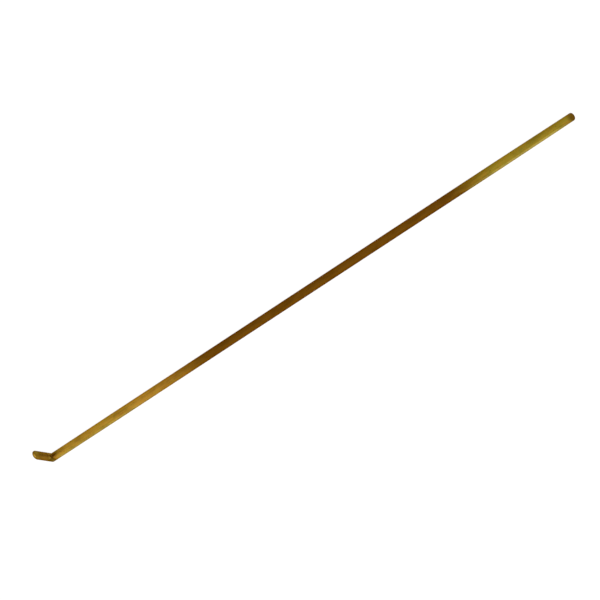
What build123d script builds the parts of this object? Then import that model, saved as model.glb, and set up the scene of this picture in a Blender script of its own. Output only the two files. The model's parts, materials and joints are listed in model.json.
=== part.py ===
from build123d import *
from math import cos, radians, tan
import os

# Slim L-shaped dibber, one length of drawn brass rod with a short toe bent square at one end.
# It lies flat on its side: the shank runs along +X, the toe points along +Y, and +Z is up.
# The origin is under the middle of its bounding box, on the surface that it lies on.
# All sizes are in millimetres.

rod_diameter = 3.2          # drawn brass rod, 1/8 in nominal
overall_length = 300.0      # back of the toe to the free end
toe_reach = 10.25           # outer side of the shank to the tip of the toe
full_length = 220.0         # middle stretch that keeps the full diameter
free_end_diameter = 2.9     # across the flat end face, before its edge is rounded
free_end_round = 0.2        # rounding of the edge of the end face
toe_diameter = 3.12         # the corner and the toe are drawn down a little by the hammer
neck_length = 34.0          # run over which the shank thins to that, towards the corner
tip_slant = 30.0            # degrees that the tip's face leans up from square
tip_round = 0.75            # rounding of the edge of the tip

rod_radius = rod_diameter / 2
toe_radius = toe_diameter / 2
free_end_x = overall_length / 2
full_end_x = full_length / 2
neck_x = -full_end_x - neck_length
corner_x = -free_end_x + toe_radius
taper_length = free_end_x - full_end_x
shank_y = -toe_reach / 2 + rod_radius
tip_y = toe_reach / 2
axis_z = rod_radius
cutter_size = 6 * rod_diameter

# The slanted face meets the toe's axis a little short of the tip's furthest point,
# which lies on the rounding of the face's lower edge.
slope_reach = (toe_radius - tip_round) * tan(radians(tip_slant))
round_loss = tip_round * (1 / cos(radians(tip_slant)) - 1)
tip_face_y = tip_y - slope_reach + round_loss


def along_shank(x):
    """A plane square to the shank, facing the free end."""
    return Plane(origin=(x, shank_y, axis_z), z_dir=(1, 0, 0))


def full_stretch():
    """The straight middle stretch at its full diameter."""
    return along_shank(0) * Cylinder(rod_radius, full_length)


def neck():
    """The slow thinning of the shank towards the corner."""
    return along_shank(neck_x + neck_length / 2) * Cone(toe_radius, rod_radius, neck_length)


def corner_and_toe():
    """The rod from the end of the neck round the corner and past the tip.

    The corner is hammered square. Its outside keeps the rod's own radius and its inside is a crease.
    """
    path = Polyline(
        (neck_x, shank_y, axis_z),
        (corner_x, shank_y, axis_z),
        (corner_x, tip_y + rod_diameter, axis_z),
    )
    start = Plane(origin=(neck_x, shank_y, axis_z), z_dir=(-1, 0, 0))
    return sweep(start * Circle(toe_radius), path=path, transition=Transition.ROUND)


def tip_cutter():
    """A block whose lower face lies on the slanted face of the tip."""
    block = Box(cutter_size, cutter_size, cutter_size, align=(Align.CENTER, Align.CENTER, Align.MIN))
    square_face = Plane(origin=(corner_x, tip_face_y, axis_z), x_dir=(1, 0, 0), z_dir=(0, 1, 0))
    return square_face * Rot(tip_slant, 0, 0) * block


def finished_toe():
    """The corner and the toe, with the slanted tip cut and its edge rounded."""
    toe = corner_and_toe() - tip_cutter()
    tip_edge = toe.edges().sort_by(Axis.Y)[-1]
    return fillet(tip_edge, tip_round)


def tapered_end():
    """The last stretch of the shank, a long shallow cone with a flat end face."""
    cone = along_shank(free_end_x - taper_length / 2) * Cone(rod_radius, free_end_diameter / 2, taper_length)
    end_face = cone.faces().sort_by(Axis.X)[-1]
    return fillet(end_face.edges(), free_end_round)


rod = finished_toe() + neck() + full_stretch() + tapered_end()
os.makedirs("parts", exist_ok=True)
export_step(rod, "parts/rod.step")
box = rod.bounding_box()
print("rod", "solids", len(rod.solids()), "volume", round(rod.volume, 2))
print("low", [round(v, 3) for v in box.min], "high", [round(v, 3) for v in box.max])
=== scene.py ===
import json
import logging
from dataclasses import asdict, dataclass, field
from enum import Enum
from math import atan2, cos, hypot, pi, radians, sin, tan
from typing import Any

import bmesh
import bpy
from mathutils import Matrix, Vector


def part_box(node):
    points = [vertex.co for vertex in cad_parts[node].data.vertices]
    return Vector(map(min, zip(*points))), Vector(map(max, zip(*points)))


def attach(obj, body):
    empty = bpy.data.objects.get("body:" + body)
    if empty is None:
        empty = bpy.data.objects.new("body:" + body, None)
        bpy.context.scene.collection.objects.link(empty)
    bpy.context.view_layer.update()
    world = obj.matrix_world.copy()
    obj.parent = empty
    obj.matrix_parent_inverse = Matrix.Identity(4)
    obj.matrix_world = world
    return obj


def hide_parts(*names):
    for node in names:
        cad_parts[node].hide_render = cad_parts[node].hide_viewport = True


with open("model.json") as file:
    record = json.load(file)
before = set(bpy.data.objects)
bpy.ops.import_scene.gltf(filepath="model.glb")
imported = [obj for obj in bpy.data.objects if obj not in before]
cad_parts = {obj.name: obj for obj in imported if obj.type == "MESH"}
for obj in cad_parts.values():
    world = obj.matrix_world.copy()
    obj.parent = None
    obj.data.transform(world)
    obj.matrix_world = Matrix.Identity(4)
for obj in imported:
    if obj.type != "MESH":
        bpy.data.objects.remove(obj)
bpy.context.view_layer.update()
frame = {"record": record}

MILLIMETRE = 0.001
TURN = 2 * pi
NOISE_MIDDLE = 0.5

logging.basicConfig(level=logging.INFO, format="%(message)s")
log = logging.getLogger("dibber")

Colour = tuple[float, float, float, float]
Ring = list[bmesh.types.BMEdge]
Corners = list[bmesh.types.BMVert]
WHITE: Colour = (1.0, 1.0, 1.0, 1.0)


class Layer(Enum):
    """Names of the data layers that the rod's mesh carries for its finishes."""

    STRAIGHT = "straightened"
    WRAP = "wrap"


class Face(Enum):
    """Which finish a face of the rod takes, as its index in the rod's material slots."""

    DRAWN = 0
    CUT = 1


# --- Shader node helpers ---


@dataclass
class Graph:
    """A node tree with short ways to add nodes and join their sockets.

    Args:
        tree: The node tree that nodes are added to.
    """

    tree: bpy.types.NodeTree

    def add(self, kind: str, **settings: Any) -> bpy.types.Node:
        """Adds a node and sets its properties.

        Args:
            kind: The node's type name, such as "ShaderNodeBump".
            settings: Properties of the node, by name.

        Returns:
            The new node.
        """
        node = self.tree.nodes.new(kind)
        for name, value in settings.items():
            setattr(node, name, value)
        return node

    def feed(self, socket: bpy.types.NodeSocket, value: Any) -> None:
        """Joins a socket to another socket, or sets it to a constant.

        Args:
            socket: The input socket.
            value: An output socket, a number, a vector or a colour.
        """
        if isinstance(value, bpy.types.NodeSocket):
            self.tree.links.new(value, socket)
        else:
            socket.default_value = value

    def math(self, operation: str, first: Any, second: Any = 0.0) -> Any:
        """Adds a Math node.

        Args:
            operation: The node's operation, such as "MULTIPLY".
            first: Its first value or socket.
            second: Its second value or socket.

        Returns:
            The output socket.
        """
        node = self.add("ShaderNodeMath", operation=operation)
        self.feed(node.inputs[0], first)
        self.feed(node.inputs[1], second)
        return node.outputs[0]

    def split(self, vector: Any) -> tuple[Any, Any, Any]:
        """Adds a Separate XYZ node.

        Args:
            vector: The vector or socket.

        Returns:
            The sockets of its three parts.
        """
        node = self.add("ShaderNodeSeparateXYZ")
        self.feed(node.inputs[0], vector)
        return tuple(node.outputs)

    def object_place(self) -> Any:
        """Returns the socket of the object's own coordinates."""
        return self.add("ShaderNodeTexCoord").outputs["Object"]

    def plus(self, first: Any, second: Any) -> Any:
        """Returns the socket of a sum."""
        return self.math("ADD", first, second)

    def minus(self, first: Any, second: Any) -> Any:
        """Returns the socket of a difference."""
        return self.math("SUBTRACT", first, second)

    def times(self, first: Any, *others: Any) -> Any:
        """Multiplies two or more values.

        Args:
            first: The first value or socket.
            others: The other values or sockets.

        Returns:
            The output socket.
        """
        for other in others:
            first = self.math("MULTIPLY", first, other)
        return first

    def ramp(self, value: Any, low: Any, high: Any, to_low: Any = 0.0, to_high: Any = 1.0) -> Any:
        """Maps a range smoothly onto another and holds it at the ends.

        Args:
            value: The value to map.
            low: Where the input range begins.
            high: Where the input range ends.
            to_low: The result at low.
            to_high: The result at high.

        Returns:
            The output socket.
        """
        node = self.add("ShaderNodeMapRange", interpolation_type="SMOOTHSTEP", clamp=True)
        for index, entry in enumerate((value, low, high, to_low, to_high)):
            self.feed(node.inputs[index], entry)
        return node.outputs[0]

    def around(self, value: Any, middle: Any, core: float, reach: float) -> Any:
        """Masks a band about a middle, full to a core's distance from it and gone past a reach."""
        away = self.math("ABSOLUTE", self.minus(value, middle))
        return self.ramp(away, core, reach, 1.0, 0.0)

    def mix(self, mask: Any, first: Any, second: Any) -> Any:
        """Mixes two colours by a mask.

        Args:
            mask: 0 gives the first colour, 1 the second.
            first: Colour or socket.
            second: Colour or socket.

        Returns:
            The output colour socket.
        """
        node = self.add("ShaderNodeMix", data_type="RGBA", clamp_factor=True)
        self.feed(node.inputs[0], mask)
        self.feed(node.inputs[6], first)
        self.feed(node.inputs[7], second)
        return node.outputs[2]

    def cover(self, mask: Any, strength: float, under: Any, over: Any) -> Any:
        """Lays one colour over another where a mask is, as fully as a strength says."""
        return self.mix(self.times(mask, strength), under, over)

    def stretched(self, vector: Any, scale: tuple[float, float, float], turn: float = 0.0) -> Any:
        """Scales and turns a pattern's coordinates.

        Args:
            vector: The coordinates.
            scale: Repeats per metre along each axis.
            turn: Angle in radians about the first axis.

        Returns:
            The output vector socket.
        """
        node = self.add("ShaderNodeMapping")
        self.feed(node.inputs["Vector"], vector)
        node.inputs["Scale"].default_value = scale
        node.inputs["Rotation"].default_value = (turn, 0.0, 0.0)
        return node.outputs[0]

    def noise(self, vector: Any, detail: float = 3.0, rough: float = 0.55, scale: float = 1.0) -> Any:
        """Adds a Noise texture.

        Args:
            vector: The coordinates.
            detail: Number of octaves.
            rough: Weight of the finer octaves.
            scale: The pattern's scale.

        Returns:
            The output value socket.
        """
        node = self.add("ShaderNodeTexNoise")
        self.feed(node.inputs["Vector"], vector)
        node.inputs["Scale"].default_value = scale
        node.inputs["Detail"].default_value = detail
        node.inputs["Roughness"].default_value = rough
        return node.outputs[0]

    def bump(self, height: Any, strength: float, distance: float, normal: Any = None) -> Any:
        """Adds a Bump node.

        Args:
            height: The height socket.
            strength: How strongly the bump shows.
            distance: The height of one unit, in metres.
            normal: A normal to build on.

        Returns:
            The output normal socket.
        """
        node = self.add("ShaderNodeBump")
        node.inputs["Strength"].default_value = strength
        node.inputs["Distance"].default_value = distance
        self.feed(node.inputs["Height"], height)
        if normal is not None:
            self.feed(node.inputs["Normal"], normal)
        return node.outputs[0]

    def group(self, tree: bpy.types.NodeTree, **inputs: Any) -> bpy.types.Node:
        """Places a node group and feeds its inputs.

        Args:
            tree: The group's node tree.
            inputs: Input values or sockets, with spaces in names written as underscores.

        Returns:
            The group node.
        """
        node = self.add("ShaderNodeGroup", node_tree=tree)
        for name, value in inputs.items():
            self.feed(node.inputs[name.replace("_", " ")], value)
        return node


@dataclass
class EffectGroup:
    """A shader node group with named inputs and outputs, built once.

    Args:
        name: The group's name.
        inputs: Input names, each with its socket type and default.
        outputs: Output names.
    """

    name: str
    inputs: dict[str, tuple[str, float | None]]
    outputs: tuple[str, ...]
    tree: bpy.types.NodeTree = field(init=False)
    graph: Graph = field(init=False)
    source: bpy.types.Node = field(init=False)
    result: bpy.types.Node = field(init=False)

    def __post_init__(self) -> None:
        """Makes the empty group with its sockets."""
        self.tree = bpy.data.node_groups.new(self.name, "ShaderNodeTree")
        for name, (kind, default) in self.inputs.items():
            socket = self.tree.interface.new_socket(name, in_out="INPUT", socket_type=kind)
            if default is not None:
                socket.default_value = default
        for name in self.outputs:
            self.tree.interface.new_socket(name, in_out="OUTPUT", socket_type="NodeSocketFloat")
        self.graph = Graph(self.tree)
        self.source = self.graph.add("NodeGroupInput")
        self.result = self.graph.add("NodeGroupOutput")

    def given(self, name: str) -> bpy.types.NodeSocket:
        """Returns the socket inside the group that carries an input."""
        return self.source.outputs[name]

    def give(self, name: str, value: Any) -> None:
        """Joins a socket inside the group to one of its outputs."""
        self.graph.feed(self.result.inputs[name], value)


VECTOR = ("NodeSocketVector", None)


def number(default: float) -> tuple[str, float]:
    """Returns the description of a number input with its default."""
    return ("NodeSocketFloat", default)


def draw_line_group() -> bpy.types.NodeTree:
    """Long fine lines that a drawing die leaves along a rod.

    Returns:
        A group that takes straightened coordinates and gives a height and a shade.
    """
    made = EffectGroup("draw_lines", {"Vector": VECTOR, "Break Up": number(0.5)}, ("Height", "Shade"))
    graph = made.graph
    place = made.given("Vector")
    fine = graph.noise(graph.stretched(place, (9000.0, 9000.0, 60.0)), detail=4.0, rough=0.6)
    broad = graph.noise(graph.stretched(place, (2200.0, 2200.0, 18.0)))
    patch = graph.noise(graph.stretched(place, (300.0, 300.0, 90.0)), detail=2.0)
    # Patches where the drawn lines are worn away.
    worn = graph.ramp(patch, 0.35, 0.65)
    kept = graph.minus(1.0, graph.times(worn, made.given("Break Up")))
    both = graph.plus(graph.times(fine, 0.6), graph.times(broad, 0.4))
    made.give("Height", graph.times(graph.minus(both, NOISE_MIDDLE), kept))
    made.give("Shade", graph.ramp(both, 0.35, 0.65))
    return made.tree


def tarnish_group() -> bpy.types.NodeTree:
    """Cloudy browning with small dark specks, drawn out along the rod.

    Returns:
        A group that takes straightened coordinates and gives a cloud mask and a speck mask.
    """
    made = EffectGroup(
        "tarnish",
        {"Vector": VECTOR, "Cover": number(0.5), "Softness": number(0.2)},
        ("Cloud", "Specks"),
    )
    graph = made.graph
    place = made.given("Vector")
    cloud = graph.noise(graph.stretched(place, (420.0, 420.0, 130.0)), detail=5.0, rough=0.6)
    level = graph.minus(1.0, made.given("Cover"))
    low = graph.minus(level, made.given("Softness"))
    high = graph.plus(level, made.given("Softness"))
    made.give("Cloud", graph.ramp(cloud, low, high))
    cells = graph.add("ShaderNodeTexVoronoi", feature="F1")
    graph.feed(cells.inputs["Vector"], graph.stretched(place, (1500.0, 1500.0, 900.0)))
    graph.feed(cells.inputs["Scale"], 1.0)
    gate = graph.ramp(graph.noise(graph.stretched(place, (700.0, 700.0, 350.0))), 0.52, 0.66)
    dots = graph.ramp(cells.outputs["Distance"], 0.12, 0.3, 1.0, 0.0)
    made.give("Specks", graph.times(dots, gate))
    return made.tree


def patch_group() -> bpy.types.NodeTree:
    """Small uneven patches of two kinds, such as two tints of tarnish.

    Returns:
        A group that takes coordinates and a size and gives a mask for each kind.
    """
    made = EffectGroup("patches", {"Vector": VECTOR, "Size": number(1.0)}, ("First", "Second"))
    graph = made.graph
    scaled = graph.add("ShaderNodeVectorMath", operation="SCALE")
    graph.feed(scaled.inputs[0], made.given("Vector"))
    graph.feed(scaled.inputs["Scale"], graph.math("DIVIDE", 1.0, made.given("Size")))
    tint = graph.noise(graph.stretched(scaled.outputs[0], (520.0, 520.0, 240.0)), detail=5.0, rough=0.7)
    made.give("First", graph.ramp(tint, NOISE_MIDDLE, 0.66))
    made.give("Second", graph.ramp(tint, NOISE_MIDDLE, 0.34))
    return made.tree


def scratch_group() -> bpy.types.NodeTree:
    """Stray hairline scratches at two slants across the rod.

    Returns:
        A group that takes straightened coordinates and gives a scratch mask.
    """
    made = EffectGroup("scratches", {"Vector": VECTOR, "Slant": number(0.35)}, ("Mask",))
    graph = made.graph
    masks = []
    for sign, spread, gate_scale in ((1.0, 620.0, 1.62), (-1.0, 470.0, 1.47)):
        turned = graph.add("ShaderNodeVectorRotate", rotation_type="X_AXIS")
        graph.feed(turned.inputs["Vector"], made.given("Vector"))
        graph.feed(turned.inputs["Angle"], graph.times(made.given("Slant"), sign))
        long_cells = (spread, 4 * spread, spread / 9)
        line = graph.noise(graph.stretched(turned.outputs[0], long_cells), detail=1.0)
        hair = graph.around(line, NOISE_MIDDLE, 0.0, 0.008)
        gate = graph.noise(graph.stretched(made.given("Vector"), (240.0, 240.0, 160.0)), scale=gate_scale)
        masks.append(graph.times(hair, graph.ramp(gate, 0.52, 0.62)))
    made.give("Mask", graph.math("MAXIMUM", *masks))
    return made.tree


def stretch_group() -> bpy.types.NodeTree:
    """A stretch of the rod between two places along it, with uneven soft ends.

    Returns:
        A group that takes straightened coordinates and two places and gives a mask.
    """
    made = EffectGroup(
        "stretch",
        {
            "Vector": VECTOR,
            "Start": number(0.0),
            "Start Blend": number(0.01),
            "End": number(1.0),
            "End Blend": number(0.01),
            "Unevenness": number(0.002),
        },
        ("Mask",),
    )
    graph = made.graph
    along = graph.split(made.given("Vector"))[2]
    wander = graph.noise(graph.stretched(made.given("Vector"), (500.0, 500.0, 160.0)))
    shift = graph.times(graph.minus(wander, NOISE_MIDDLE), made.given("Unevenness"))
    place = graph.plus(along, shift)
    passed = []
    for side in ("Start", "End"):
        middle = made.given(side)
        half = graph.times(made.given(f"{side} Blend"), 0.5)
        passed.append(graph.ramp(place, graph.minus(middle, half), graph.plus(middle, half)))
    made.give("Mask", graph.times(passed[0], graph.minus(1.0, passed[1])))
    return made.tree


def tip_highlight_group() -> bpy.types.NodeTree:
    """A painted highlight streak on the upper half of the tip.

    Returns:
        A group that takes object coordinates and the rod's sizes and gives a mask.
    """
    made = EffectGroup(
        "tip_streak",
        {
            "Vector": VECTOR,
            "Middle": number(0.0),
            "Height": number(0.0),
            "Radius": number(0.0016),
            "Lean": number(0.5),
            "Start": number(0.0),
        },
        ("Mask",),
    )
    graph = made.graph
    x, y, z = graph.split(made.given("Vector"))
    above = graph.minus(z, made.given("Height"))
    leant = graph.plus(y, graph.times(above, made.given("Lean")))
    across = graph.math("DIVIDE", graph.minus(x, made.given("Middle")), made.given("Radius"))
    ahead = graph.math("DIVIDE", graph.minus(leant, made.given("Start")), made.given("Radius"))
    above = graph.math("DIVIDE", above, made.given("Radius"))
    mask = graph.times(
        graph.around(across, 0.0, 0.05, 0.42),
        graph.ramp(ahead, 0.1, 0.4),
        graph.ramp(above, -0.5, 0.1),
        graph.ramp(above, 0.3, 0.65, 1.0, 0.0),
    )
    made.give("Mask", mask)
    return made.tree


@dataclass
class Effects:
    """The node groups that the finishes share, each built once."""

    draw_lines: bpy.types.NodeTree = field(default_factory=draw_line_group)
    tarnish: bpy.types.NodeTree = field(default_factory=tarnish_group)
    patches: bpy.types.NodeTree = field(default_factory=patch_group)
    scratches: bpy.types.NodeTree = field(default_factory=scratch_group)
    stretch: bpy.types.NodeTree = field(default_factory=stretch_group)
    tip_streak: bpy.types.NodeTree = field(default_factory=tip_highlight_group)


# --- Finishes ---


@dataclass(frozen=True)
class Stretch:
    """A stretch of the rod, by distance from the free end, in metres.

    Args:
        start: Where it begins.
        start_blend: Length over which it fades in.
        end: Where it ends.
        end_blend: Length over which it fades out.
        unevenness: How far its ends wander.
    """

    start: float
    start_blend: float
    end: float
    end_blend: float
    unevenness: float

    def mask(self, graph: Graph, effects: Effects, place: Any) -> Any:
        """Builds the stretch's mask from straightened coordinates."""
        sizes = {name.title(): value for name, value in asdict(self).items()}
        return graph.group(effects.stretch, Vector=place, **sizes).outputs["Mask"]


@dataclass(frozen=True)
class ShankTones:
    """Stretches of the shank that take their own colour, and the painted highlights along its upper side.

    Args:
        handled: The darker brown middle stretch.
        free_end: The greener stretch next to the free end.
        rubbed_far: The stretch by the free end whose upper side carries a painted highlight.
        rubbed_near: The stretch by the corner whose upper side carries a faint painted highlight.
        blushed: The stretch with a reddish bloom, where the browning begins.
        free_rim: The darkened rim at the free end: patina, also painted shade that damps the highlight on its
            rounded edge.
        streak_start: How far up the rod's side the painted highlight streaks begin, as a sine.
        streak_full: How far up they are full.
    """

    handled: Stretch = Stretch(0.0518, 0.030, 0.2196, 0.040, 0.010)
    free_end: Stretch = Stretch(-0.01, 0.001, 0.15, 0.10, 0.012)
    rubbed_far: Stretch = Stretch(0.004, 0.012, 0.058, 0.010, 0.008)
    rubbed_near: Stretch = Stretch(0.235, 0.03, 0.294, 0.004, 0.008)
    blushed: Stretch = Stretch(0.216, 0.018, 0.250, 0.03, 0.016)
    free_rim: Stretch = Stretch(-0.01, 0.001, 0.0009, 0.0018, 0.0006)
    streak_start: float = 0.85
    streak_full: float = 0.99


@dataclass(frozen=True)
class CornerTones:
    """Where the corner carries patina, painted shade and painted lightening, in metres from the crease,
    positive up the shank.

    Places across the corner are in radii of the rod, from its inside, at -2, to where the
    axes meet, at 0.

    Args:
        toe_start: How far up the shank the toe's colour is full.
        toe_end: How far up the shank the toe's colour ends.
        crease_place: Middle of the darkened band of painted shade and patina.
        crease_core: Half the width over which it is darkest.
        crease_reach: Half the width over which it shows at all.
        lean: How far the toe's colour and the band shift towards the toe for each unit of height.
        tuck_place: Middle of the painted lightening inside the corner, set against the shade that falls
            there.
        tuck_core: Half the width over which it is full.
        tuck_reach: Half the width over which it shows at all.
        crease_begins: The places across between which the darkening begins.
        crease_fades: The places across between which it weakens.
        crease_left: The share that is left of it beyond that.
        tuck_fades: The places across between which the painted lightening ends.
    """

    toe_start: float = 0.0019
    toe_end: float = 0.0046
    crease_place: float = 0.0017
    crease_core: float = 0.0005
    crease_reach: float = 0.0031
    lean: float = 1.0
    tuck_place: float = -0.0004
    tuck_core: float = 0.0004
    tuck_reach: float = 0.0015
    crease_begins: tuple[float, float] = (-2.0, -1.78)
    crease_fades: tuple[float, float] = (-1.35, -0.6)
    crease_left: float = 0.3
    tuck_fades: tuple[float, float] = (-1.7, -1.93)

    def masks(self, graph: Graph, rod: "Rod") -> tuple[Any, Any, Any]:
        """Builds the masks of the toe, the darkened band of painted shade and patina, and the painted
        lightening inside the corner.

        Args:
            graph: The material's nodes.
            rod: The rod.

        Returns:
            Three output sockets.
        """
        x, y, z = graph.split(graph.object_place())
        side = graph.minus(graph.minus(x, y), rod.corner.x - rod.corner.y)
        leant = graph.plus(side, graph.times(graph.minus(z, rod.axis_z), self.lean))
        toe = graph.ramp(leant, self.toe_start, self.toe_end, 1.0, 0.0)
        across = graph.minus(rod.corner.x + rod.corner.y, graph.plus(x, y))
        across = graph.math("DIVIDE", across, rod.radius)
        # Painted shade with patina: a darkened band across the crease.
        crease = graph.times(
            graph.around(leant, self.crease_place, self.crease_core, self.crease_reach),
            graph.ramp(across, *self.crease_begins),
            graph.ramp(across, *self.crease_fades, 1.0, self.crease_left),
        )
        # Painted light: the inside of the corner, where shade falls, is lightened.
        inner_fill = graph.times(
            graph.around(side, self.tuck_place, self.tuck_core, self.tuck_reach),
            graph.ramp(across, *self.tuck_fades),
        )
        return toe, crease, inner_fill


@dataclass(frozen=True)
class Tints:
    """Colours that both finishes share.

    Args:
        warm: Reddish tint of the tarnish, in patches.
        cool: Greenish tint of the tarnish, in patches.
        worn: Colour of the painted highlight streak on the tip.
        rim: Tint of reflections at a glancing angle.
        streak_strength: How fully the tip's painted highlight covers what lies under it.
        streak_shift: How far the tip's painted highlight lies beside the toe's axis, in radii.
    """

    warm: Colour = (0.42, 0.18, 0.030, 1.0)
    cool: Colour = (0.21, 0.20, 0.030, 1.0)
    worn: Colour = (0.66, 0.43, 0.070, 1.0)
    rim: Colour = (0.60, 0.42, 0.18, 1.0)
    streak_strength: float = 0.85
    streak_shift: float = -0.2

    def streak(self, graph: Graph, effects: Effects, rod: "Rod", colour: Any) -> Any:
        """Lays the tip's painted highlight, a bright streak, over a colour.

        Args:
            graph: The material's nodes.
            effects: The shared node groups.
            rod: The rod.
            colour: The colour under it.

        Returns:
            The output colour socket.
        """
        mask = graph.group(
            effects.tip_streak,
            Vector=graph.object_place(),
            Middle=rod.corner.x + self.streak_shift * rod.radius,
            Height=rod.axis_z,
            Radius=rod.radius,
            Lean=tan(rod.tip_slant),
            Start=rod.tip_start,
        ).outputs["Mask"]
        return graph.cover(mask, self.streak_strength, colour, self.worn)


def new_material(name: str) -> tuple[bpy.types.Material, Graph, bpy.types.Node]:
    """Makes a material with a Principled shader.

    Args:
        name: The material's name.

    Returns:
        The material, its nodes and its shader.
    """
    material = bpy.data.materials.new(name)
    material.use_nodes = True
    return material, Graph(material.node_tree), material.node_tree.nodes["Principled BSDF"]


@dataclass(frozen=True)
class DrawnBrass:
    """Old drawn brass: bright at both ends with painted highlights along the upper side, a darker brown
    middle stretch, and painted shade with patina in the corner's crease.

    Args:
        gold: Colour of the stretch by the corner.
        olive: Colour of the stretch by the free end.
        brown: Colour of the darker brown middle stretch.
        toe_brown: Colour of the toe: patina, also painted shade for the toe's darker reflection.
        deep_brown: Colour of the tarnish and the specks, and of the painted shade in the crease and at the
            free end's rim.
        rubbed: Colour of the painted highlight streaks along the upper side.
        blush: Colour of the reddish bloom where the browning begins.
        tints: The colours that it shares with the cut faces.
        far_strength: How fully the painted highlight streak by the free end covers.
        near_strength: How fully the painted highlight streak by the corner covers.
        blush_strength: How fully the bloom covers.
        tuck_strength: How fully the painted lightening inside the corner covers.
        crease_strength: How fully the painted shade and patina in the crease cover.
        rim_strength: How fully the free end's rim covers.
        patch_strength: How fully the warm and cool patches cover.
        cloud_strength: How fully the cloudy tarnish covers.
        line_strength: How fully the drawn lines' shade covers.
        speck_strength: How fully the specks cover.
        roughness: Roughness of clean brass.
        dulling: What cloudy tarnish adds to it.
        polish: What a scratch takes from it.
        rough_lines: What the drawn lines' shade adds to it.
        anisotropy: How strongly the drawn lines stretch reflections.
    """

    gold: Colour = (0.415, 0.236, 0.028, 1.0)
    olive: Colour = (0.308, 0.213, 0.019, 1.0)
    brown: Colour = (0.150, 0.061, 0.0056, 1.0)
    toe_brown: Colour = (0.240, 0.122, 0.010, 1.0)
    deep_brown: Colour = (0.060, 0.022, 0.002, 1.0)
    rubbed: Colour = (0.48, 0.39, 0.105, 1.0)
    blush: Colour = (0.52, 0.12, 0.030, 1.0)
    tints: Tints = Tints()
    far_strength: float = 0.90
    near_strength: float = 0.60
    blush_strength: float = 0.12
    tuck_strength: float = 0.65
    crease_strength: float = 0.68
    rim_strength: float = 0.55
    patch_strength: float = 0.40
    cloud_strength: float = 0.26
    line_strength: float = 0.17
    speck_strength: float = 0.55
    roughness: float = 0.36
    dulling: float = 0.10
    polish: float = 0.12
    rough_lines: float = 0.3
    anisotropy: float = 0.75

    def build(
        self, effects: Effects, rod: "Rod", shank: ShankTones, corner: CornerTones
    ) -> bpy.types.Material:
        """Makes the material.

        Args:
            effects: The shared node groups.
            rod: The rod that it is for.
            shank: Where the shank is browned and where painted highlights lie along its upper side.
            corner: Where the corner carries patina, painted shade and painted lightening.

        Returns:
            The material.
        """
        material, graph, shader = new_material("drawn_brass")
        place = graph.add("ShaderNodeAttribute", attribute_name=Layer.STRAIGHT.value).outputs["Vector"]
        lines = graph.group(effects.draw_lines, Vector=place, Break_Up=0.6).outputs
        tarnish = graph.group(effects.tarnish, Vector=place, Cover=0.45, Softness=0.16).outputs
        scratch = graph.group(effects.scratches, Vector=place, Slant=0.3).outputs["Mask"]
        shade = graph.times(lines["Shade"], self.line_strength)

        colour, plain_brass = self._shank(graph, effects, place, shank)
        toe, crease, inner_fill = corner.masks(graph, rod)
        # The toe's brown: patina, also painted shade for its darker reflection.
        colour = graph.mix(toe, colour, self.toe_brown)
        # Painted light: the inside of the corner is lightened towards gold against the shade there.
        colour = graph.cover(inner_fill, self.tuck_strength, colour, self.gold)
        # Painted shade with patina darkens the crease.
        colour = graph.cover(crease, self.crease_strength, colour, self.deep_brown)
        # Painted highlight: a bright streak on the upper half of the tip.
        colour = self.tints.streak(graph, effects, rod, colour)
        # Patina at the free end's rim, also painted shade that damps the highlight on its rounded edge.
        rim = shank.free_rim.mask(graph, effects, place)
        colour = graph.cover(rim, self.rim_strength, colour, self.deep_brown)
        patches = graph.group(effects.patches, Vector=place, Size=1.0).outputs
        for kind, tint in (("First", self.tints.warm), ("Second", self.tints.cool)):
            mask = graph.times(patches[kind], plain_brass)
            colour = graph.cover(mask, self.patch_strength, colour, tint)
        colour = graph.cover(tarnish["Cloud"], self.cloud_strength, colour, self.deep_brown)
        colour = graph.mix(shade, colour, self.deep_brown)
        colour = graph.cover(tarnish["Specks"], self.speck_strength, colour, self.deep_brown)
        graph.feed(shader.inputs["Base Color"], colour)

        rough = graph.plus(graph.times(tarnish["Cloud"], self.dulling), self.roughness)
        rough = graph.minus(rough, graph.times(scratch, self.polish))
        rough = graph.plus(rough, graph.times(shade, self.rough_lines))
        graph.feed(shader.inputs["Roughness"], rough)
        normal = graph.bump(lines["Height"], 0.5, 0.03 * MILLIMETRE)
        normal = graph.bump(tarnish["Specks"], 0.4, -0.02 * MILLIMETRE, normal)
        normal = graph.bump(scratch, 0.5, -0.01 * MILLIMETRE, normal)
        graph.feed(shader.inputs["Normal"], normal)
        tangent = graph.add("ShaderNodeTangent", direction_type="UV_MAP", uv_map=Layer.WRAP.value)
        graph.feed(shader.inputs["Tangent"], tangent.outputs[0])
        shader.inputs["Metallic"].default_value = 1.0
        shader.inputs["Specular Tint"].default_value = self.tints.rim
        shader.inputs["Anisotropic"].default_value = self.anisotropy
        return material

    def _shank(self, graph: Graph, effects: Effects, place: Any, tones: ShankTones) -> tuple[Any, Any]:
        """Builds the shank's colour, before the corner and the tarnish are laid over it.

        Args:
            graph: The material's nodes.
            effects: The shared node groups.
            place: Straightened coordinates.
            tones: Where the shank is browned and where painted highlights lie along its upper side.

        Returns:
            The colour, and the mask of what lies outside the brown middle stretch.
        """
        upper = self._upper(graph, place, tones)
        handled = tones.handled.mask(graph, effects, place)
        colour = graph.mix(tones.free_end.mask(graph, effects, place), self.gold, self.olive)
        # Painted highlight: lighter streaks along the upper side of the stretches by the free end and by the
        # corner.
        for stretch, strength in (
            (tones.rubbed_far, self.far_strength),
            (tones.rubbed_near, self.near_strength),
        ):
            mask = graph.times(stretch.mask(graph, effects, place), upper)
            colour = graph.cover(mask, strength, colour, self.rubbed)
        # A darker brown middle stretch.
        colour = graph.mix(handled, colour, self.brown)
        blushed = tones.blushed.mask(graph, effects, place)
        colour = graph.cover(blushed, self.blush_strength, colour, self.blush)
        return colour, graph.minus(1.0, handled)

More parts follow.
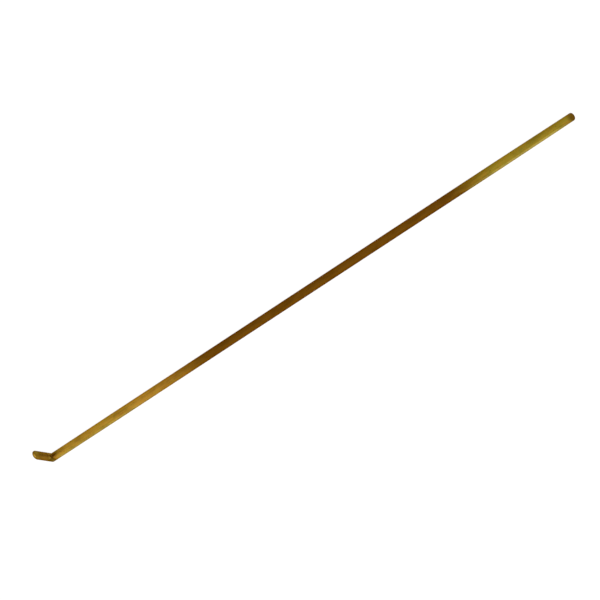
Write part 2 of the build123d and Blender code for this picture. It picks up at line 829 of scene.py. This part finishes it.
    @staticmethod
    def _upper(graph: Graph, place: Any, tones: ShankTones) -> Any:
        """Builds a mask along the rod's upper side.

        Args:
            graph: The material's nodes.
            place: Straightened coordinates.
            tones: How wide the painted highlight streaks are.

        Returns:
            The output socket.
        """
        side, up, _ = graph.split(place)
        sine = graph.math("SINE", graph.math("ARCTAN2", up, side))
        return graph.ramp(sine, tones.streak_start, tones.streak_full)


@dataclass(frozen=True)
class CutBrass:
    """A cut end face: dull, browned, with fine parallel cutter marks.

    Args:
        face: Colour of the free end's face.
        tip: Colour of the tip's face.
        grime: Colour of the dirt in the cutter marks.
        tints: The colours that it shares with the drawn surface.
        warm_strength: How fully the reddish patches cover.
        cool_strength: How fully the greenish patches cover.
        cloud_strength: How fully the cloudy tarnish covers.
        grime_strength: How fully the dirt covers.
        roughness: Middle roughness.
        rough_spread: How far it goes up and down with the marks.
    """

    face: Colour = (0.158, 0.077, 0.008, 1.0)
    tip: Colour = (0.24, 0.122, 0.011, 1.0)
    grime: Colour = (0.075, 0.036, 0.004, 1.0)
    tints: Tints = Tints()
    warm_strength: float = 0.12
    cool_strength: float = 0.25
    cloud_strength: float = 0.25
    grime_strength: float = 0.30
    roughness: float = 0.5
    rough_spread: float = 0.1

    def build(self, effects: Effects, rod: "Rod") -> bpy.types.Material:
        """Makes the material.

        Args:
            effects: The shared node groups.
            rod: The rod that it is for.

        Returns:
            The material.
        """
        material, graph, shader = new_material("cut_brass")
        place = graph.object_place()
        marks = graph.noise(graph.stretched(place, (600.0, 900.0, 9000.0), 0.4), detail=3.0)
        cloud = graph.group(effects.tarnish, Vector=place, Cover=0.5, Softness=0.2).outputs["Cloud"]
        patches = graph.group(effects.patches, Vector=place, Size=0.6).outputs

        on_tip = graph.ramp(graph.split(place)[1], 0.0, rod.high.y / 2)
        colour = graph.mix(on_tip, self.face, self.tip)
        colour = graph.cover(patches["First"], self.warm_strength, colour, self.tints.warm)
        colour = graph.cover(patches["Second"], self.cool_strength, colour, self.tints.cool)
        # Painted highlight: a bright streak on the upper half of the tip.
        colour = self.tints.streak(graph, effects, rod, colour)
        colour = graph.cover(cloud, self.cloud_strength, colour, self.face)
        colour = graph.cover(graph.ramp(marks, 0.40, 0.62), self.grime_strength, colour, self.grime)
        graph.feed(shader.inputs["Base Color"], colour)

        smooth = self.roughness - self.rough_spread
        coarse = self.roughness + self.rough_spread
        graph.feed(shader.inputs["Roughness"], graph.ramp(marks, 0.3, 0.7, smooth, coarse))
        graph.feed(shader.inputs["Normal"], graph.bump(marks, 0.6, 0.04 * MILLIMETRE))
        shader.inputs["Metallic"].default_value = 1.0
        shader.inputs["Specular Tint"].default_value = self.tints.rim
        return material


# --- The rod ---


@dataclass
class Rod:
    """The whole tool: a long shank, a corner folded square and a short toe with a slanted tip.

    Args:
        low: Lowest corner of the rod's box.
        high: Highest corner of the rod's box.
        radius: Radius of the middle stretch.
        full_end: Where the middle stretch ends, on either side of the middle.
        end_radius: Radius of the free end's face, before its edge is rounded.
        toe_radius: Radius of the corner and the toe.
        neck_length: Run over which the shank thins to that.
        elbow: Length of the corner along each arm, from where the axes meet.
        corner_sharpness: Radius of the corner's outside as a share of the rod's radius.
        corner_blend: How softly the outside's rounding turns into the inside's crease.
        end_round: Rounding of the free end's edge.
        end_dome: Height of the free end's slightly domed face.
        tip_slant: Angle that the tip's face leans up from square.
        tip_round: Rounding of the tip's edge.
        tip_dome: Height of the tip's slightly domed face.
        sides: Number of flat strips around the rod.
        shank_steps: Rings along the taper, the middle stretch, the neck and the run to the corner.
        corner_steps: Rings around the corner.
        toe_steps: Rings along the toe.
        round_steps: Rings on a rounded edge.
        face_rings: Sizes of the rings on an end's face, as shares of its radius.
        mitre_full: How near the corner straightened coordinates follow its mitre fully.
        mitre_end: How far from the corner they no longer follow it.
    """

    low: Vector
    high: Vector
    radius: float
    full_end: float
    end_radius: float = 1.45 * MILLIMETRE
    toe_radius: float = 1.56 * MILLIMETRE
    neck_length: float = 34.0 * MILLIMETRE
    elbow: float = 1.9 * MILLIMETRE
    corner_sharpness: float = 0.76
    corner_blend: float = 0.35 * MILLIMETRE
    end_round: float = 0.2 * MILLIMETRE
    end_dome: float = 0.05 * MILLIMETRE
    tip_slant: float = radians(30.0)
    tip_round: float = 0.75 * MILLIMETRE
    tip_dome: float = 0.1 * MILLIMETRE
    sides: int = 64
    shank_steps: tuple[int, int, int, int] = (8, 30, 6, 2)
    corner_steps: int = 14
    toe_steps: int = 10
    round_steps: int = 8
    face_rings: tuple[float, ...] = (0.94, 0.8, 0.6, 0.4, 0.2)
    mitre_full: float = 2.0 * MILLIMETRE
    mitre_end: float = 10.0 * MILLIMETRE

    @property
    def axis_y(self) -> float:
        """Height of the shank's axis above the box's low side, across the floor."""
        return self.low.y + self.radius

    @property
    def axis_z(self) -> float:
        """Height of the rod's axis above the floor."""
        return self.low.z + self.radius

    @property
    def corner(self) -> Vector:
        """The point where the axes of the shank and the toe meet."""
        return Vector((self.low.x + self.toe_radius, self.axis_y, self.axis_z))

    @property
    def tip_start(self) -> float:
        """Finds the ring where the tip's rounding begins, before the tip is leant back.

        Returns:
            The ring's place along Y.
        """
        lean = tan(self.tip_slant)
        loss = (self.toe_radius - self.tip_round) * lean + self.tip_round * (1 / cos(self.tip_slant) - 1)
        return self.high.y - loss - self.tip_round

    @property
    def corner_place(self) -> float:
        """Distance along the rod from the free end to the corner."""
        return self.high.x - self.corner.x

    def fold(self, out: float) -> float:
        """Gives the radius that a line this far outside the axis turns the corner with."""
        return self.corner_sharpness * (hypot(out / 2, self.corner_blend) + out / 2)

    def corner_point(self, out: float, up: float, angle: float) -> Vector:
        """Gives the point where a line outside and above the axis has turned by an angle."""
        turn = self.fold(out)
        return self.corner + Vector((turn - out - turn * sin(angle), turn - out - turn * cos(angle), up))

    def straighten(self, point: Vector) -> Vector:
        """Gives a point's place on the rod as if it were never bent.

        Args:
            point: A point on the bent rod.

        Returns:
            Two coordinates across the rod and the distance along it from the free end.
        """
        across = point - self.corner
        on_shank = across.x >= across.y
        ahead, side, sign = (across.x, across.y, -1) if on_shank else (across.y, across.x, 1)
        near = min(1.0, max(0.0, (self.mitre_end - ahead) / (self.mitre_end - self.mitre_full)))
        return Vector((side, across.z, self.corner_place + sign * (ahead - side * near)))

    def thickness(self, x: float) -> float:
        """Gives the shank's radius at a place along it.

        Args:
            x: The place.

        Returns:
            The radius.
        """
        if x > self.full_end:
            share = (x - self.full_end) / (self.high.x - self.full_end)
            return self.radius + (self.end_radius - self.radius) * share
        share = min(1.0, max(0.0, (-self.full_end - x) / self.neck_length))
        return self.radius + (self.toe_radius - self.radius) * share

    def build(self) -> bpy.types.Object:
        """Makes the rod's mesh and its data layers.

        Returns:
            The rod's object.
        """
        shape = bmesh.new()
        ring = self._shank(shape)
        ring = self._corner(shape, ring)
        self._toe(shape, ring)
        bmesh.ops.recalc_face_normals(shape, faces=shape.faces)
        self._layers(shape)
        mesh = bpy.data.meshes.new("rod_body")
        shape.to_mesh(mesh)
        shape.free()
        mesh.shade_smooth()
        piece = bpy.data.objects.new("rod_body", mesh)
        bpy.context.scene.collection.objects.link(piece)
        return piece

    @staticmethod
    def _extrude(shape: bmesh.types.BMesh, ring: Ring) -> tuple[Ring, Corners]:
        """Extrudes a ring of edges.

        Args:
            shape: The mesh.
            ring: The ring's edges.

        Returns:
            The new ring's edges and vertices.
        """
        made = bmesh.ops.extrude_edge_only(shape, edges=ring)["geom"]
        vertices = [part for part in made if isinstance(part, bmesh.types.BMVert)]
        fresh = set(vertices)
        edges = [
            part
            for part in made
            if isinstance(part, bmesh.types.BMEdge) and all(v in fresh for v in part.verts)
        ]
        return edges, vertices

    def _shank(self, shape: bmesh.types.BMesh) -> Ring:
        """Makes the shank from the free end to the corner.

        Args:
            shape: The mesh.

        Returns:
            The shank's last ring.
        """
        start = self.high.x - self.end_round - self.end_dome
        size = self.thickness(start)
        place = Matrix.Translation((start, self.axis_y, self.axis_z)) @ Matrix.Rotation(pi / 2, 4, "Y")
        made = bmesh.ops.create_circle(shape, cap_ends=False, radius=size, segments=self.sides, matrix=place)
        first = list({edge for vertex in made["verts"] for edge in vertex.link_edges})
        ring, x = first, start
        neck_end = -self.full_end - self.neck_length
        stops = (self.full_end, -self.full_end, neck_end, self.corner.x + self.elbow)
        for stop, steps in zip(stops, self.shank_steps):
            run = (stop - x) / steps
            for _ in range(steps):
                x += run
                ring = self._step(shape, ring, Vector((run, 0, 0)), self.thickness(x) / size)
                size = self.thickness(x)
        self._end(shape, first, Vector((1, 0, 0)), self.thickness(start), self.end_round, self.end_dome)
        return ring

    def _step(self, shape: bmesh.types.BMesh, ring: Ring, move: Vector, grow: float) -> Ring:
        """Extrudes a ring and scales it about its own centre.

        Args:
            shape: The mesh.
            ring: The ring's edges.
            move: How far the new ring moves.
            grow: How much it grows.

        Returns:
            The new ring's edges.
        """
        edges, vertices = self._extrude(shape, ring)
        bmesh.ops.translate(shape, vec=move, verts=vertices)
        centre = sum((v.co for v in vertices), Vector()) / len(vertices)
        bmesh.ops.scale(shape, vec=(grow, grow, grow), space=Matrix.Translation(-centre), verts=vertices)
        return edges

    def _corner(self, shape: bmesh.types.BMesh, ring: Ring) -> Ring:
        """Folds the rod square, tight inside and rounded outside.

        Args:
            shape: The mesh.
            ring: The shank's last ring.

        Returns:
            The corner's last ring.
        """
        lines = {
            vertex: (self.axis_y - vertex.co.y, vertex.co.z - self.axis_z)
            for edge in ring
            for vertex in edge.verts
        }
        for step in range(self.corner_steps + 1):
            ring, vertices = self._extrude(shape, ring)
            lines = {vertex: lines[self._behind(vertex, lines)] for vertex in vertices}
            for vertex, (out, up) in lines.items():
                vertex.co = self.corner_point(out, up, pi / 2 * step / self.corner_steps)
        return ring

    @staticmethod
    def _behind(vertex: bmesh.types.BMVert, known: dict) -> bmesh.types.BMVert:
        """Returns the vertex of the ring before that this one was extruded from."""
        return next(edge.other_vert(vertex) for edge in vertex.link_edges if edge.other_vert(vertex) in known)

    def _toe(self, shape: bmesh.types.BMesh, ring: Ring) -> None:
        """Extrudes the toe, closes it and leans its tip back.

        Args:
            shape: The mesh.
            ring: The corner's last ring.
        """
        ring, vertices = self._extrude(shape, ring)
        begin = self.corner.y + self.elbow
        for vertex in vertices:
            vertex.co.y = begin
        known = set(shape.verts)
        run = self.tip_start - begin
        for _ in range(self.toe_steps):
            ring = self._step(shape, ring, Vector((0, run / self.toe_steps, 0)), 1.0)
        self._end(shape, ring, Vector((0, 1, 0)), self.toe_radius, self.tip_round, self.tip_dome)
        for vertex in set(shape.verts) - known:
            share = min(1.0, (vertex.co.y - begin) / run)
            vertex.co.y -= share * tan(self.tip_slant) * (vertex.co.z - self.axis_z)

    def _end(
        self,
        shape: bmesh.types.BMesh,
        ring: Ring,
        outward: Vector,
        radius: float,
        rounding: float,
        dome: float,
    ) -> None:
        """Rounds an end's edge, then closes it with a faintly domed face.

        Args:
            shape: The mesh.
            ring: The last ring of the rod's side.
            outward: The end's direction.
            radius: The ring's radius.
            rounding: Radius of the rounded edge.
            dome: Height of the face's middle above its edge.
        """
        size = radius
        for step in range(1, self.round_steps + 1):
            before, after = (pi / 2 * at / self.round_steps for at in (step - 1, step))
            next_size = radius - rounding * (1 - cos(after))
            rise = rounding * (sin(after) - sin(before))
            ring = self._step(shape, ring, outward * rise, next_size / size)
            size = next_size
        flat = size
        known = set(shape.faces)
        for share in self.face_rings:
            rise = dome * ((size / flat) ** 2 - share**2)
            ring = self._step(shape, ring, outward * rise, flat * share / size)
            size = flat * share
        bmesh.ops.contextual_create(shape, geom=ring)
        for face in set(shape.faces) - known:
            face.material_index = Face.CUT.value

    def _layers(self, shape: bmesh.types.BMesh) -> None:
        """Writes each vertex's straightened place and each corner's wrapped place.

        Args:
            shape: The finished mesh.
        """
        straight = shape.verts.layers.float_vector.new(Layer.STRAIGHT.value)
        wrap = shape.loops.layers.uv.new(Layer.WRAP.value)
        for vertex in shape.verts:
            vertex[straight] = self.straighten(vertex.co)
        for face in shape.faces:
            middle = sum((loop.vert[straight] for loop in face.loops), Vector()) / len(face.loops)
            around = atan2(middle.y, middle.x)
            for loop in face.loops:
                at = loop.vert[straight]
                angle = atan2(at.y, at.x)
                angle += TURN * round((around - angle) / TURN)
                loop[wrap].uv = (angle * self.radius, at.z)


# --- The studio ---


@dataclass(frozen=True)
class SoftBox:
    """A large soft light that faces the tool.

    Args:
        name: The light's name.
        azimuth: Its place around the tool, in degrees.
        elevation: Its height above the floor, in degrees.
        distance: Its distance from the tool, in metres.
        width: Its width, in metres.
        depth: Its depth, in metres.
        power: Its power, in watts.
    """

    name: str
    azimuth: float
    elevation: float
    distance: float
    width: float
    depth: float
    power: float

    def build(self, target: Vector) -> None:
        """Adds the light.

        Args:
            target: The point that it faces.
        """
        data = bpy.data.lights.new(self.name, "AREA")
        data.shape = "RECTANGLE"
        data.size = self.width
        data.size_y = self.depth
        data.energy = self.power
        light = bpy.data.objects.new(self.name, data)
        back = direction(self.azimuth, self.elevation)
        light.location = target + back * self.distance
        light.rotation_euler = back.to_track_quat("Z", "Y").to_euler()
        bpy.context.scene.collection.objects.link(light)


def direction(azimuth: float, elevation: float) -> Vector:
    """Gives the direction to a viewer, in degrees around +Z from -Y and above the floor."""
    turn, rise = radians(azimuth), radians(elevation)
    return Vector((sin(turn) * cos(rise), -cos(turn) * cos(rise), sin(rise)))


@dataclass(frozen=True)
class Studio:
    """Plain pale floor, soft light and a long-lens camera.

    Args:
        azimuth: The camera's place around the tool, in degrees.
        elevation: Its height above the floor, in degrees.
        roll: Its turn about its own line of sight, in degrees.
        distance: Its distance from the point that it looks at, in metres.
        lens: Focal length on a 36 mm sensor, in millimetres.
        aim: The point that it looks at, from the middle of the tool, in metres.
        floor_size: Length of the floor's sides, in metres.
        floor_shade: Grey of the floor by itself.
        floor_light: How brightly the floor is lit from below.
        world_light: Brightness of the room.
        overhead: The soft light beside the tool.
    """

    azimuth: float = 132.14
    elevation: float = 23.24
    roll: float = 170.32
    distance: float = 2.3466
    lens: float = 400.0
    aim: tuple[float, float, float] = (0.000837, -0.002544, 0.00232)
    floor_size: float = 6.0
    floor_shade: Colour = (0.08, 0.08, 0.08, 1.0)
    floor_light: float = 0.97
    world_light: float = 1.05
    overhead: SoftBox = SoftBox("overhead", -90.0, 55.0, 1.6, 1.6, 1.6, 2.3)

    def build(self, middle: Vector) -> None:
        """Adds the floor, the lights and the camera.

        Args:
            middle: The middle of the tool's box.
        """
        self._floor()
        self._world()
        self._camera(middle)
        self.overhead.build(middle)
        bpy.context.scene.view_settings.view_transform = "Standard"

    def _floor(self) -> None:
        """Adds the floor that the tool lies on."""
        shape = bmesh.new()
        bmesh.ops.create_grid(shape, x_segments=1, y_segments=1, size=self.floor_size / 2)
        mesh = bpy.data.meshes.new("floor")
        shape.to_mesh(mesh)
        shape.free()
        floor = bpy.data.objects.new("floor", mesh)
        bpy.context.scene.collection.objects.link(floor)
        material, _, shader = new_material("pale_floor")
        shader.inputs["Base Color"].default_value = self.floor_shade
        shader.inputs["Roughness"].default_value = 0.9
        shader.inputs["Specular IOR Level"].default_value = 0.0
        shader.inputs["Emission Color"].default_value = WHITE
        shader.inputs["Emission Strength"].default_value = self.floor_light
        mesh.materials.append(material)

    def _world(self) -> None:
        """Adds the even light of the room."""
        world = bpy.data.worlds.new("room")
        world.use_nodes = True
        sky = world.node_tree.nodes["Background"]
        sky.inputs["Color"].default_value = WHITE
        sky.inputs["Strength"].default_value = self.world_light
        bpy.context.scene.world = world

    def _camera(self, middle: Vector) -> None:
        """Adds the camera.

        Args:
            middle: The middle of the tool's box.
        """
        data = bpy.data.cameras.new("camera")
        data.sensor_width = 36.0
        data.lens = self.lens
        data.clip_end = 100.0
        camera = bpy.data.objects.new("camera", data)
        back = direction(self.azimuth, self.elevation)
        place = Matrix.Translation(middle + Vector(self.aim) + back * self.distance)
        facing = back.to_track_quat("Z", "Y").to_matrix().to_4x4()
        camera.matrix_world = place @ facing @ Matrix.Rotation(radians(self.roll), 4, "Z")
        bpy.context.scene.collection.objects.link(camera)
        bpy.context.scene.camera = camera


def main() -> None:
    """Builds the tool, dresses it and sets up the studio."""
    effects = Effects()
    low, high = (Vector(corner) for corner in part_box("rod"))
    pin = next(mount for mount in frame["record"]["mounts"] if mount["name"] == "shank")
    size = pin["dims"]
    rod = Rod(low, high, size["r_mm"] * MILLIMETRE, size["length_mm"] / 2 * MILLIMETRE)
    body = rod.build()
    body.data.materials.append(DrawnBrass().build(effects, rod, ShankTones(), CornerTones()))
    body.data.materials.append(CutBrass().build(effects, rod))
    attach(body, "root")
    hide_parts("rod")
    log.info("rod: %d faces", len(body.data.polygons))
    Studio().build((low + high) / 2)


if __name__ == "__main__":
    main()
